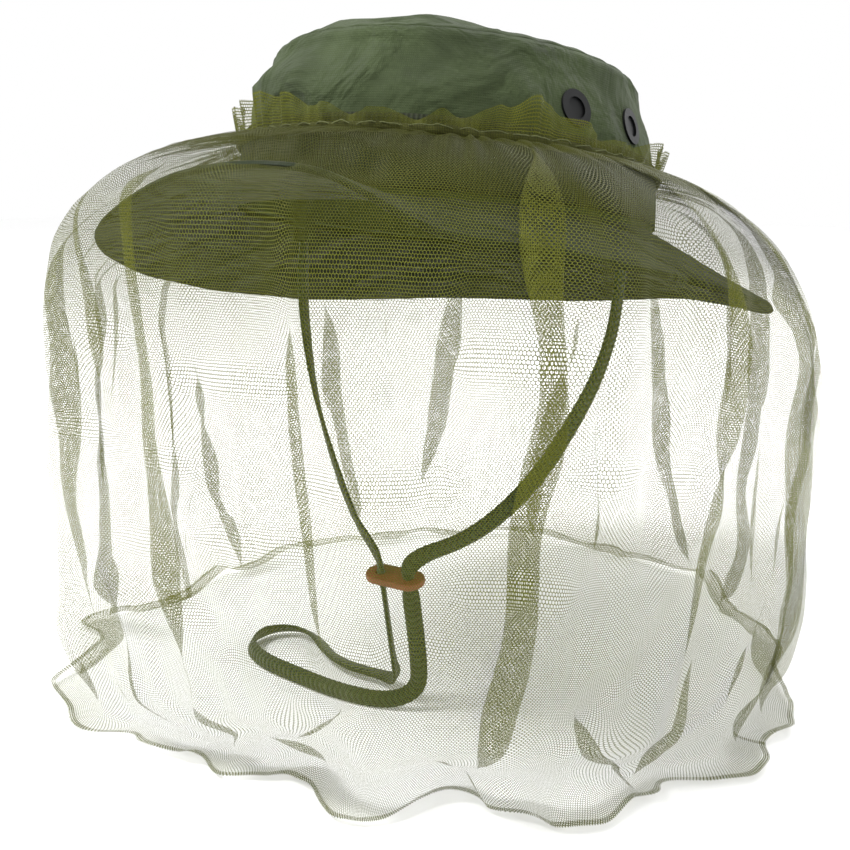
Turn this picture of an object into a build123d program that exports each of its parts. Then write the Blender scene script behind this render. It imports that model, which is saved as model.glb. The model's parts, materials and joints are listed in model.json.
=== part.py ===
"""Brimmed cloth hat with an elastic-topped head net and a braided chin cord.

The origin is the centre of the head opening. -Y is the wearer's front, +X the wearer's left, +Z up.
"""
from build123d import *
from math import asin, cos, pi, radians, sin, sqrt, tan
import os

os.makedirs("parts", exist_ok=True)

# Driving dimensions, in millimetres and degrees
hat_tilt = 8.0  # the hat sits with its front raised
opening_half_width = 88.0  # head opening, outside of the cloth
opening_half_length = 102.0
side_height = 62.0  # crown side, from brim seam to tip seam
side_top_half_width = 75.0
tip_rise = 24.0  # dome of the crown's tip
cloth = 1.0  # crown cloth with its lining
seam_gap = 0.05  # between pieces that are sewn face to face
side_seam_back = 14.0  # the crown's side seams, behind the middle
sweatband_low = 0.5
sweatband_height = 30.0
sweatband_thickness = 1.0
tape_height = 7.0
tape_thickness = 0.8
brim_width = 58.0
brim_ply = 0.8
ply_gap = 0.15
brim_hem = 5.0  # turned edge that the interlining stops short of
foliage_low = 2.5
foliage_high = 29.0
foliage_thickness = 1.2
vent_height = 39.0
vent_turns = {"front": 63.0, "rear": 86.0}  # from the front towards the ear
vent_flange_radius = 7.25
vent_hole_radius = 5.0
vent_screen_radius = 4.2
vent_flange_thickness = 0.8
vent_fit = 0.1
tab_bar_height = -8.0  # bar that the chin cord's eye hangs on
tab_bar_radius = 1.5
tab_width = 8.0
tab_tape = 1.0
tab_side_gap = 0.3
tab_sewn_height = 8.0
cord_diameter = 5.0  # round of the flat braid's section
eye_radius = 4.0
eye_clearance = 0.05
keeper_length = 28.0
keeper_width = 13.0
keeper_thickness = 3.0
keeper_hole_spacing = 14.0
keeper_hole_clearance = 0.1
keeper_lean = 11.5  # the hanging strands lean back by this angle
elastic_low = 22.0
elastic_height = 4.0
elastic_thickness = 1.5
elastic_ride_gap = 0.5
header_height = 12.0
header_flare = 1.5
net_wall = 0.8
net_seam_width = 3.0
hem_height = 6.0
hem_proud = 0.4
table_drop = 215.0  # head opening down to the surface that the hem reaches

brim_steps = 36

# Height of the brim's edge against the seam, at turns from the front towards the wearer's left
brim_droops = [
    (0, 1), (15, 1), (30, -15), (50, -20), (70, -24), (90, -27), (120, -28), (150, -22), (180, -26),
    (210, -30), (240, -36), (262, -36), (285, -32), (310, -24), (335, -13), (360, 1),
]

# Derived frames and outlines
hat_up = Vector(0, sin(radians(hat_tilt)), cos(radians(hat_tilt)))
hat_plane = Plane(origin=(0, 0, 0), x_dir=(1, 0, 0), z_dir=tuple(hat_up))
length_ratio = opening_half_length / opening_half_width
side_lean_in = opening_half_width - side_top_half_width
side_arc = (side_height**2 + side_lean_in**2) / (2 * side_lean_in)
tip_arc = (side_top_half_width**2 + tip_rise**2) / (2 * tip_rise)


def side_half_width(height):
    """Half width of the crown's outside at a height: an arc that is upright at the seam."""
    return opening_half_width - side_arc + sqrt(side_arc**2 - height**2)


def side_band(low, high, inset, thickness):
    """Level sections of a band that follows the crown's side, its outer face set in by inset."""
    count = 5
    sections = []
    for step in range(count):
        height = low + (high - low) * step / (count - 1)
        half_width = side_half_width(height) - inset
        half_length = side_half_width(height) * length_ratio - inset
        with BuildSketch(hat_plane.offset(height)) as section:
            Ellipse(half_width, half_length)
            Ellipse(half_width - thickness, half_length - thickness, mode=Mode.SUBTRACT)
        sections.append(section.sketch)
    return sections


def tip_dome(inset):
    """Level sections of the domed tip above the side, set in from its outside."""
    sections = []
    for share in (0.0, 0.25, 0.5, 0.7, 0.85, 0.95, 0.995):
        rise = tip_rise - inset
        radius = tip_arc - inset
        half_width = sqrt(radius**2 - (radius - rise * (1 - share)) ** 2)
        with BuildSketch(hat_plane.offset(side_height + seam_gap + rise * share)) as section:
            Ellipse(half_width, half_width * length_ratio)
        sections.append(section.sketch)
    return sections


def vent_plane(turn):
    """Tangent plane of the crown's outside at a vent, with its normal outwards."""
    half_width = side_half_width(vent_height)
    across, along = sin(radians(turn)), -cos(radians(turn))
    rise = tan(asin(vent_height / side_arc))
    outward = Vector(across, along / length_ratio, rise).normalized()
    centre = Vector(half_width * across, half_width * length_ratio * along, vent_height)
    return Plane(
        origin=hat_plane.from_local_coords(centre),
        z_dir=hat_plane.from_local_coords(outward) - hat_plane.origin,
    )


vents = {}
for place, turn in vent_turns.items():
    vents[f"vent_left_{place}"] = vent_plane(turn)
    vents[f"vent_right_{place}"] = vent_plane(-turn)


# Crown
side_seam_plane = Plane(
    origin=hat_plane.from_local_coords((0, side_seam_back, 0)),
    x_dir=(1, 0, 0),
    z_dir=tuple(-hat_plane.y_dir),
)
with BuildPart() as crown_side_front:
    loft(side_band(0, side_height, 0, cloth))
    for plane in vents.values():
        with BuildSketch(plane):
            Circle(vent_hole_radius)
        extrude(amount=3 * cloth, both=True, mode=Mode.SUBTRACT)
    split(bisect_by=side_seam_plane, keep=Keep.TOP)
crown_side_front.part.label = "crown_side_front"
export_step(crown_side_front.part, "parts/crown_side_front.step")

with BuildPart() as crown_side_rear:
    loft(side_band(0, side_height, 0, cloth))
    split(bisect_by=side_seam_plane, keep=Keep.BOTTOM)
crown_side_rear.part.label = "crown_side_rear"
export_step(crown_side_rear.part, "parts/crown_side_rear.step")

with BuildPart() as crown_tip:
    loft(tip_dome(0))
    loft(tip_dome(cloth), mode=Mode.SUBTRACT)
crown_tip.part.label = "crown_tip"
export_step(crown_tip.part, "parts/crown_tip.step")

with BuildPart() as tip_seam_tape:
    loft(side_band(side_height - tape_height, side_height, cloth + seam_gap, tape_thickness))
tip_seam_tape.part.label = "tip_seam_tape"
export_step(tip_seam_tape.part, "parts/tip_seam_tape.step")

with BuildPart() as sweatband:
    loft(side_band(sweatband_low, sweatband_height, cloth + seam_gap, sweatband_thickness))
sweatband.part.label = "sweatband"
export_step(sweatband.part, "parts/sweatband.step")

with BuildPart() as foliage_band:
    loft(side_band(foliage_low, foliage_high, -seam_gap - foliage_thickness, foliage_thickness))
foliage_band.part.label = "foliage_band"
export_step(foliage_band.part, "parts/foliage_band.step")


# Brim
def brim_droop(turn):
    """Droop of the brim's edge at a turn, eased from each stated turn to the next."""
    for (before, low), (after, high) in zip(brim_droops, brim_droops[1:]):
        if before <= turn <= after:
            share = (turn - before) / (after - before)
            return low + (high - low) * share * share * (3 - 2 * share)


def brim_section(turn):
    """The top ply's section across the brim at a turn from the front, begun inside the seam."""
    droop = brim_droop(turn)
    across, along = sin(radians(turn)), -cos(radians(turn))
    seam = Vector(opening_half_width * across, opening_half_length * along, 0)
    outward = Vector(across, along, 0)
    plane = Plane(
        origin=hat_plane.from_local_coords(seam),
        x_dir=hat_plane.from_local_coords(outward),
        z_dir=hat_plane.from_local_coords(outward.cross(Vector(0, 0, 1))),
    )
    start = -2 * cloth
    inner_top = brim_ply + droop * start / brim_width
    outer_top = brim_ply + droop
    with BuildSketch(plane) as section:
        with BuildLine():
            Polyline(
                (start, inner_top - brim_ply),
                (brim_width, outer_top - brim_ply),
                (brim_width, outer_top),
                (start, inner_top),
                close=True,
            )
        make_face()
    return section.sketch


with BuildPart() as brim_blank:
    for first in (0, brim_steps // 2):
        steps = range(first, first + brim_steps // 2 + 1)
        loft([brim_section(360 * step / brim_steps) for step in steps], ruled=True)

# Three plies of one shape from the top down, with the interlining trimmed inside the turned edge
for number, name in enumerate(("brim_top", "brim_interlining", "brim_under")):
    with BuildPart() as ply:
        with Locations(hat_up * (-number * (brim_ply + ply_gap))):
            add(brim_blank.part)
        with BuildSketch(hat_plane):
            Ellipse(opening_half_width + seam_gap, opening_half_length + seam_gap)
        extrude(amount=brim_width, both=True, mode=Mode.SUBTRACT)
        if name == "brim_interlining":
            reach = brim_width - brim_hem
            with BuildSketch(hat_plane):
                Ellipse(opening_half_width + reach, opening_half_length + reach)
            extrude(amount=brim_width, both=True, mode=Mode.INTERSECT)
    ply.part.label = name
    export_step(ply.part, f"parts/{name}.step")

# Vents: a flanged eyelet with a screen in it outside, and a washer inside
flange_sag = vent_flange_radius**2 / (2 * side_half_width(vent_height))
washer_top = -cloth - seam_gap - flange_sag
barrel_bottom = washer_top - vent_flange_thickness
for name, plane in vents.items():
    with BuildPart() as vent:
        with BuildSketch(plane.offset(seam_gap)):
            Circle(vent_flange_radius)
            Circle(vent_screen_radius, mode=Mode.SUBTRACT)
        extrude(amount=vent_flange_thickness)
        with BuildSketch(plane.offset(barrel_bottom)):
            Circle(vent_hole_radius - vent_fit)
            Circle(vent_screen_radius, mode=Mode.SUBTRACT)
        extrude(amount=seam_gap - barrel_bottom)
        with BuildSketch(plane.offset(-cloth / 2)):
            Circle(vent_screen_radius)
        extrude(amount=cloth / 2)
    vent.part.label = name
    export_step(vent.part, f"parts/{name}.step")

with BuildPart() as vent_washers:
    for plane in vents.values():
        with BuildSketch(plane.offset(barrel_bottom)):
            Circle(vent_flange_radius)
            Circle(vent_hole_radius, mode=Mode.SUBTRACT)
        extrude(amount=vent_flange_thickness)
vent_washers.part.label = "vent_washers"
export_step(vent_washers.part, "parts/vent_washers.step")

# Cord tabs: folded tape sewn inside the sweatband, with a bar that the cord's eye hangs on
tab_half = cord_diameter / 2 + tab_side_gap + tab_tape
tab_offset = opening_half_width - cloth - seam_gap - sweatband_thickness - tab_half - 0.5
tab_bottom = tab_bar_height - tab_bar_radius - tab_tape
tab_sewn_bottom = tab_bar_height + eye_radius + 0.5
for side, name in ((1, "cord_tab_left"), (-1, "cord_tab_right")):
    with BuildPart() as cord_tab:
        with BuildSketch(hat_plane.offset(tab_bottom)):
            with Locations((side * tab_offset, 0)):
                Rectangle(2 * tab_half, tab_width)
        extrude(amount=tab_sewn_height - tab_bottom)
        with BuildSketch(hat_plane.offset(tab_bottom)):
            with Locations((side * tab_offset, 0)):
                Rectangle(2 * (tab_half - tab_tape), tab_width)
        extrude(amount=tab_sewn_bottom - tab_bottom, mode=Mode.SUBTRACT)
        with BuildSketch(Plane.YZ.offset(side * tab_offset - tab_half)):
            with Locations((tab_bar_height * hat_up.Y, tab_bar_height * hat_up.Z)):
                Circle(tab_bar_radius)
        extrude(amount=2 * tab_half)
    cord_tab.part.label = name
    export_step(cord_tab.part, f"parts/{name}.step")

# Chin cord: one braid from ear to ear, with its loop below the keeper resting on the table
eye_y, eye_z = tab_bar_height * hat_up.Y, tab_bar_height * hat_up.Z
eye_start = (eye_radius + tab_bar_radius) / 2
cord_points = [
    (tab_offset, eye_y, eye_z - eye_start),
    (82, -3, -34),
    (77, -8, -60),
    (68, -16, -83),
    (57, -26, -105),
    (44, -38, -122),
    (32, -50, -131),
    (21, -58, -135),
    (14, -61.4, -141),
    (14, -50.8, -193),
    (12, -50, -205),
    (1, -56, -212),
    (-22, -60, -212.3),
    (-50, -57, -212.3),
    (-76, -53, -212.3),
    (-92, -43, -212.3),
    (-96, -27, -212.3),
    (-85, -15, -212.3),
    (-68, -18, -212.3),
    (-51, -31, -212.3),
    (-34, -37, -212.3),
    (-14, -36, -212),
    (-2, -44, -206),
    (0, -50.8, -193),
    (0, -61.4, -141),
    (-7, -58, -135),
    (-19, -50, -131),
    (-34, -38, -122),
    (-51, -26, -105),
    (-66, -16, -83),
    (-76, -8, -60),
    (-82, -3, -34),
    (-tab_offset, eye_y, eye_z - eye_start),
]


def bend_radii(points):
    """Radius at each corner of a route, 0.45 of its shorter run over the tangent of half the turn."""
    radii = []
    for before, corner, after in zip(points, points[1:], points[2:]):
        run_in = Vector(*corner) - Vector(*before)
        run_out = Vector(*after) - Vector(*corner)
        half_turn = radians(run_in.get_angle(run_out)) / 2
        radii.append(0.45 * min(run_in.length, run_out.length) / tan(half_turn))
    return radii


cord_radii = bend_radii(cord_points)
with BuildPart() as chin_cord:
    with BuildLine() as cord_route:
        FilletPolyline(*cord_points, radius=cord_radii)
    with BuildSketch(Plane(origin=cord_route.line @ 0, z_dir=cord_route.line % 0)):
        Circle(cord_diameter / 2)
    sweep()
    cord_volume = chin_cord.part.volume
    cord_length = sum(edge.length for edge in cord_route.edges())
    for side in (1, -1):
        with BuildSketch(Plane.YZ.offset(side * tab_offset)):
            with Locations((eye_y, eye_z)):
                Circle(eye_radius)
                Circle(tab_bar_radius + eye_clearance, mode=Mode.SUBTRACT)
        extrude(amount=cord_diameter / 2, both=True)
chin_cord.part.label = "chin_cord"
export_step(chin_cord.part, "parts/chin_cord.step")
print("cord radii", [round(radius, 1) for radius in cord_radii])
print("cord length", round(cord_length, 1))
print("cord volume", round(cord_volume), "section by length", round(pi * cord_diameter**2 / 4 * cord_length))

# Keeper: a leather slide square to the two hanging strands
keeper_plane = Plane(
    origin=(7, -60, -148),
    x_dir=(1, 0, 0),
    z_dir=(0, -sin(radians(keeper_lean)), cos(radians(keeper_lean))),
)
with BuildPart() as keeper:
    with BuildSketch(keeper_plane.offset(-keeper_thickness / 2)):
        SlotOverall(keeper_length, keeper_width)
        with GridLocations(keeper_hole_spacing, 0, 2, 1):
            Circle(cord_diameter / 2 + keeper_hole_clearance, mode=Mode.SUBTRACT)
    extrude(amount=keeper_thickness)
    keeper_rim = keeper.faces().sort_by(Axis(keeper_plane.origin, keeper_plane.z_dir))
    fillet(keeper_rim[0].outer_wire().edges() + keeper_rim[-1].outer_wire().edges(), radius=0.8)
keeper.part.label = "keeper"
export_step(keeper.part, "parts/keeper.step")

# Net: rings from the elastic over the brim's edge and down to the table
brim_half_width = opening_half_width + brim_width
brim_half_length = opening_half_length + brim_width
elastic_half_width = side_half_width(elastic_low) + seam_gap + foliage_thickness + elastic_ride_gap
elastic_half_length = elastic_half_width + side_half_width(elastic_low) * (length_ratio - 1)
net_top = elastic_half_width + elastic_thickness
shoulder_run = brim_half_width - net_top
skirt = table_drop - hem_height


def hat_ring(height, out, slope):
    """A ring parallel to the head opening, out from the elastic by the same distance all round."""
    centre = hat_plane.from_local_coords((0, 0, height))
    plane = Plane(origin=centre, x_dir=(1, 0, 0), z_dir=hat_plane.z_dir)
    return plane, net_top + out, elastic_half_length + elastic_thickness + out, slope


def skirt_ring(share, right, back, extra_width, extra_length):
    """A level ring of the skirt, at a share of the drop to the hem."""
    plane = Plane(origin=(-right, back, -skirt * share - seam_gap * (1 - share) + seam_gap))
    return plane, brim_half_width + extra_width, brim_half_length + extra_length, 90


net_rings = [
    hat_ring(elastic_low, 0, 15),
    hat_ring(elastic_low - 3, 0.4 * shoulder_run, 15),
    hat_ring(elastic_low - 7, 0.8 * shoulder_run, 20),
    hat_ring(elastic_low - 13, shoulder_run + 6, 45),
    hat_ring(elastic_low - 34, shoulder_run + 16, 75),
    skirt_ring(0.3, 6, 5, 23, 8),
    skirt_ring(0.52, 6, 10, 23, 6),
    skirt_ring(0.78, 6, 20, 24, 2),
    skirt_ring(1.0, 8, 31, 26, 0),
]


def net_outline(inset):
    """The net's rings as sections, set in square to the net."""
    sections = []
    for plane, half_width, half_length, slope in net_rings:
        narrower = inset * sin(radians(slope))
        lower = inset * cos(radians(slope))
        with BuildSketch(plane.offset(-lower)) as section:
            Ellipse(half_width - narrower, half_length - narrower)
        sections.append(section.sketch)
    return sections


# The whole net, open at the elastic and at the hem, which is then cut into its panels
with BuildPart() as net_shell:
    loft(net_outline(0), ruled=True)
    loft(net_outline(net_wall), ruled=True, mode=Mode.SUBTRACT)
    with BuildSketch(hat_plane.offset(elastic_low - 3 * net_wall)):
        Ellipse(elastic_half_width, elastic_half_length)
    extrude(amount=6 * net_wall, mode=Mode.SUBTRACT)

cut_length = 4 * brim_half_length
with BuildPart() as veil_front:
    add(net_shell.part)
    Box(cut_length, net_seam_width, cut_length, mode=Mode.SUBTRACT)
    split(bisect_by=Plane.XZ, keep=Keep.TOP)
veil_front.part.label = "veil_front"
export_step(veil_front.part, "parts/veil_front.step")

with BuildPart() as veil_rear:
    add(net_shell.part)
    Box(cut_length, net_seam_width, cut_length, mode=Mode.SUBTRACT)
    split(bisect_by=Plane.XZ, keep=Keep.BOTTOM)
veil_rear.part.label = "veil_rear"
export_step(veil_rear.part, "parts/veil_rear.step")

with BuildPart() as veil_side_seams:
    add(net_shell.part)
    Box(cut_length, net_seam_width - 2 * seam_gap, cut_length, mode=Mode.INTERSECT)
veil_side_seams.part.label = "veil_side_seams"
export_step(veil_side_seams.part, "parts/veil_side_seams.step")

with BuildPart() as veil_elastic:
    with BuildSketch(hat_plane.offset(elastic_low + seam_gap)):
        Ellipse(net_top, elastic_half_length + elastic_thickness)
        Ellipse(elastic_half_width, elastic_half_length, mode=Mode.SUBTRACT)
    extrude(amount=elastic_height - seam_gap)
veil_elastic.part.label = "veil_elastic"
export_step(veil_elastic.part, "parts/veil_elastic.step")

header_low = elastic_low + elastic_height + seam_gap
with BuildPart() as veil_header:
    for inset, mode in ((0, Mode.ADD), (elastic_thickness, Mode.SUBTRACT)):
        for share in (0, 1):
            out = header_flare * share - inset
            with BuildSketch(hat_plane.offset(header_low + header_height * share)):
                Ellipse(net_top + out, elastic_half_length + elastic_thickness + out)
        loft(mode=mode)
veil_header.part.label = "veil_header"
export_step(veil_header.part, "parts/veil_header.step")

hem_plane, hem_half_width, hem_half_length, _ = net_rings[-1]
with BuildPart() as veil_hem:
    with BuildSketch(Plane(origin=(hem_plane.origin.X, hem_plane.origin.Y, -table_drop))):
        Ellipse(hem_half_width + hem_proud, hem_half_length + hem_proud)
        inward = net_wall + hem_proud
        Ellipse(hem_half_width - inward, hem_half_length - inward, mode=Mode.SUBTRACT)
    extrude(amount=hem_height - seam_gap)
veil_hem.part.label = "veil_hem"
export_step(veil_hem.part, "parts/veil_hem.step")
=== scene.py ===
"""Bush hat with a gathered head net: cloth, net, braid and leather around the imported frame."""

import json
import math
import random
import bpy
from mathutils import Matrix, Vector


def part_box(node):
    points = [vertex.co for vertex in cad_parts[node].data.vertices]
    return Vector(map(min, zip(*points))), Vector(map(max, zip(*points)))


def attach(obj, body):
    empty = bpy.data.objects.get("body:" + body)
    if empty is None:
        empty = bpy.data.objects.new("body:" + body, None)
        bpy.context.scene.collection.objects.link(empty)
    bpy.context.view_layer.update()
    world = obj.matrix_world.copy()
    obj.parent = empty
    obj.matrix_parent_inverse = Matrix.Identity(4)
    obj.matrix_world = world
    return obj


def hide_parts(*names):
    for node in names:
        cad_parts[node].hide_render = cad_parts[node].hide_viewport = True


bl_info = {
    "name": "Hat with head net",
    "version": (1, 0, 0),
    "blender": (4, 5, 0),
    "location": "View3D > Sidebar > Hat and net",
    "description": "Makes the cloth, net, cord and leather pieces of a brimmed hat with a head net",
    "category": "Object",
}

import bmesh
import bpy
from mathutils import Matrix, Vector, noise

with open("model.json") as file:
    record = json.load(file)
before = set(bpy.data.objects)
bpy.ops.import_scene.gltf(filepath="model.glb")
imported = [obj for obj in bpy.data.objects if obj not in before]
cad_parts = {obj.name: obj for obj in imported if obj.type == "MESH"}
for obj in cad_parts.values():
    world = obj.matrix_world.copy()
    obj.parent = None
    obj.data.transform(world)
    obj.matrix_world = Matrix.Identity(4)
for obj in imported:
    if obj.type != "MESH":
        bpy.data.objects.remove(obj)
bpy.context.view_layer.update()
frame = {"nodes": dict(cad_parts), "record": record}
MM = 0.001
CLOTH_UV = "cloth_metres"

# ---------------------------------------------------------------- places from the frame
opening_axis = Vector(frame["record"]["mounts"][0]["axis"])
hat_up = -opening_axis.normalized()
hat_right = Vector((1, 0, 0))
hat_back = hat_up.cross(hat_right)
HALF_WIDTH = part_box("crown_side_front")[1].x
HALF_LENGTH = -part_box("crown_side_front")[0].y / hat_up.z
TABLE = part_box("veil_hem")[0].z


def hat_point(x, y, h):
    """A point given in the hat's own frame, in metres, as a point of the row frame."""
    return hat_right * x + hat_back * y + hat_up * h


def smooth(share):
    """Eases 0 to 1."""
    share = max(0.0, min(1.0, share))
    return share * share * (3 - 2 * share)


def bump(distance, width):
    """A soft hump of height 1 at distance 0 that is gone at twice the width."""
    return math.exp(-((distance / width) ** 2))


def around(degrees_a, degrees_b):
    """The shorter way round between two turns, in degrees."""
    return (degrees_a - degrees_b + 180) % 360 - 180


def round_curve(stations, turn):
    """A closed smooth curve through (turn, value) pairs, at a turn in degrees."""
    count = len(stations)
    turn %= 360
    for i in range(count):
        t1, v1 = stations[i]
        t2, v2 = stations[(i + 1) % count]
        t2 += 360 * (t2 <= t1)
        at = turn + 360 * (turn < t1 and t2 > 360)
        if t1 <= at <= t2:
            t0, v0 = stations[i - 1]
            t3, v3 = stations[(i + 2) % count]
            t0 -= 360 * (t0 > t1)
            while t3 <= t2:
                t3 += 360
            s = (at - t1) / (t2 - t1)
            slope1 = (v2 - v0) / (t2 - t0) * (t2 - t1)
            slope2 = (v3 - v1) / (t3 - t1) * (t2 - t1)
            return (
                v1 * (2 * s**3 - 3 * s**2 + 1)
                + slope1 * (s**3 - 2 * s**2 + s)
                + v2 * (3 * s**2 - 2 * s**3)
                + slope2 * (s**3 - s**2)
            )
    raise ValueError(f"no station for turn {turn}")


# ---------------------------------------------------------------- sizes and colours
def from_hex(text):
    """A sRGB hex colour as linear red, green, blue and 1."""
    channels = [int(text[i : i + 2], 16) / 255 for i in (1, 3, 5)]
    return (*[c / 12.92 if c <= 0.04045 else ((c + 0.055) / 1.055) ** 2.4 for c in channels], 1)


class HatSizes(bpy.types.PropertyGroup):
    side_height: bpy.props.FloatProperty(
        name="Crown side", description="Height of the crown's side", default=0.062, unit="LENGTH"
    )
    top_half_width: bpy.props.FloatProperty(
        name="Tip half width", description="Half width at the tip seam", default=0.075, unit="LENGTH"
    )
    tip_rise: bpy.props.FloatProperty(
        name="Tip rise", description="Height of the tip's soft dome", default=0.020, unit="LENGTH"
    )
    brim_width: bpy.props.FloatProperty(
        name="Brim", description="Width of the brim", default=0.058, unit="LENGTH"
    )
    crease: bpy.props.FloatProperty(
        name="Creases", description="Depth of the cloth's soft creases", default=0.0048, unit="LENGTH"
    )
    cotton: bpy.props.FloatVectorProperty(
        name="Cotton", description="Colour of the cloth", subtype="COLOR", default=from_hex("#333c26")[:3]
    )
    webbing: bpy.props.FloatVectorProperty(
        name="Webbing", description="Colour of the band", subtype="COLOR", default=from_hex("#1f2412")[:3]
    )


class NetSizes(bpy.types.PropertyGroup):
    length: bpy.props.FloatProperty(
        name="Length", description="Net from elastic to hem, along the cloth", default=0.325, unit="LENGTH"
    )
    girth: bpy.props.FloatProperty(
        name="Girth", description="The net's girth laid flat", default=1.2, unit="LENGTH"
    )
    pitch: bpy.props.FloatProperty(
        name="Mesh", description="From one hole of the net to the next", default=0.00105, unit="LENGTH"
    )
    thread: bpy.props.FloatVectorProperty(
        name="Thread", description="Colour of the net", subtype="COLOR", default=from_hex("#535618")[:3]
    )


class CordSizes(bpy.types.PropertyGroup):
    width: bpy.props.FloatProperty(
        name="Braid width", description="Width of the flat braid", default=0.0078, unit="LENGTH"
    )
    thickness: bpy.props.FloatProperty(
        name="Braid thickness", description="Thickness of the flat braid", default=0.0022, unit="LENGTH"
    )
    cotton: bpy.props.FloatVectorProperty(
        name="Braid", description="Colour of the braid", subtype="COLOR", default=from_hex("#212e17")[:3]
    )
    leather: bpy.props.FloatVectorProperty(
        name="Keeper", description="Colour of the leather", subtype="COLOR", default=from_hex("#7c371a")[:3]
    )


# ---------------------------------------------------------------- materials
# A Wave node at scale 1 repeats its bands this far apart
WAVE_REPEAT = math.tau / 20


def node(tree, kind, links=None, **settings):
    """Adds a shader node, with its settings.

    The links give each input, by name or number, a value, a socket, or a node whose output in use it takes.
    """
    made = tree.nodes.new("ShaderNode" + kind)
    for key, value in settings.items():
        setattr(made, key, value)
    for key, value in (links or {}).items():
        socket = made.inputs[key]
        if isinstance(value, bpy.types.Node):
            value = next(output for output in value.outputs if output.enabled)
        if isinstance(value, bpy.types.NodeSocket):
            tree.links.new(value, socket)
        else:
            socket.default_value = value
    return made


def new_material(name, on_cloth=False):
    """An empty material, its tree, and a point's place on the object or, if on_cloth, on the flat cloth."""
    material = bpy.data.materials.new(name)
    material.use_nodes = True
    tree = material.node_tree
    tree.nodes.clear()
    if on_cloth:
        return material, tree, node(tree, "UVMap", uv_map=CLOTH_UV)
    return material, tree, node(tree, "TexCoord").outputs["Object"]


def shade(colour, factor):
    """A linear colour made darker or lighter."""
    return (*[channel * factor for channel in tuple(colour)[:3]], 1)


def finish_material(tree, blend, dark, light, values):
    """Ends a material in a Principled shader, from dark to light as blend goes from 0 to 1."""
    tint = node(tree, "Mix", {"Factor": blend, "A": dark, "B": light}, data_type="RGBA")
    shader = node(tree, "BsdfPrincipled", {"Base Color": tint, **values})
    node(tree, "OutputMaterial", {"Surface": shader})


def cotton_material(name, colour, thread=0.9 * MM, own_uv=True):
    """Washed cotton drill: matt, mottled where the dye has worn, creased, its weave just showing.

    The weave is drawn up to 0.9 mm apart, about twice the real one, so that it shows.
    """
    material, tree, place = new_material(name)
    weave_place = node(tree, "UVMap", uv_map=CLOTH_UV) if own_uv else place
    worn_patches = {"Vector": place, "Scale": 1 / (42 * MM), "Detail": 7.0, "Roughness": 0.65}
    worn = node(tree, "TexNoise", worn_patches)
    mottle = node(tree, "MapRange", {0: worn, 1: 0.36, 2: 0.68, 3: 0.0, 4: 0.75})
    threads = {"Vector": weave_place, "Scale": WAVE_REPEAT / thread, "Distortion": 0.5}
    warp = node(tree, "TexWave", threads, bands_direction="X").outputs["Fac"]
    weft = node(tree, "TexWave", threads, bands_direction="Y").outputs["Fac"]
    weave = node(tree, "Math", {0: warp, 1: weft}, operation="MULTIPLY")
    flecks = {"Vector": weave_place, "Scale": 1 / (1.4 * MM), "Detail": 2.0}
    fleck = node(tree, "TexNoise", flecks)
    blend = node(tree, "Math", {0: fleck, 1: 0.4, 2: mottle}, operation="MULTIPLY_ADD")
    rough = node(tree, "MapRange", {0: weave, 3: 0.95, 4: 0.8})
    relief = node(tree, "Bump", {"Height": weave, "Distance": 0.25 * MM, "Strength": 0.5})
    crumples = {"Vector": place, "Scale": 1 / (29 * MM), "Detail": 4.0, "Roughness": 0.45}
    crumpled = node(tree, "TexNoise", {**crumples, "Distortion": 0.6})
    creases = {"Height": crumpled, "Distance": 14 * MM, "Strength": 0.9, "Normal": relief}
    surface = {
        "Roughness": rough,
        "Normal": node(tree, "Bump", creases),
        "Specular IOR Level": 0.12,
        "Sheen Weight": 0.04,
        "Sheen Roughness": 0.5,
    }
    finish_material(tree, blend, shade(colour, 0.62), shade(colour, 1.35), surface)
    return material


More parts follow.
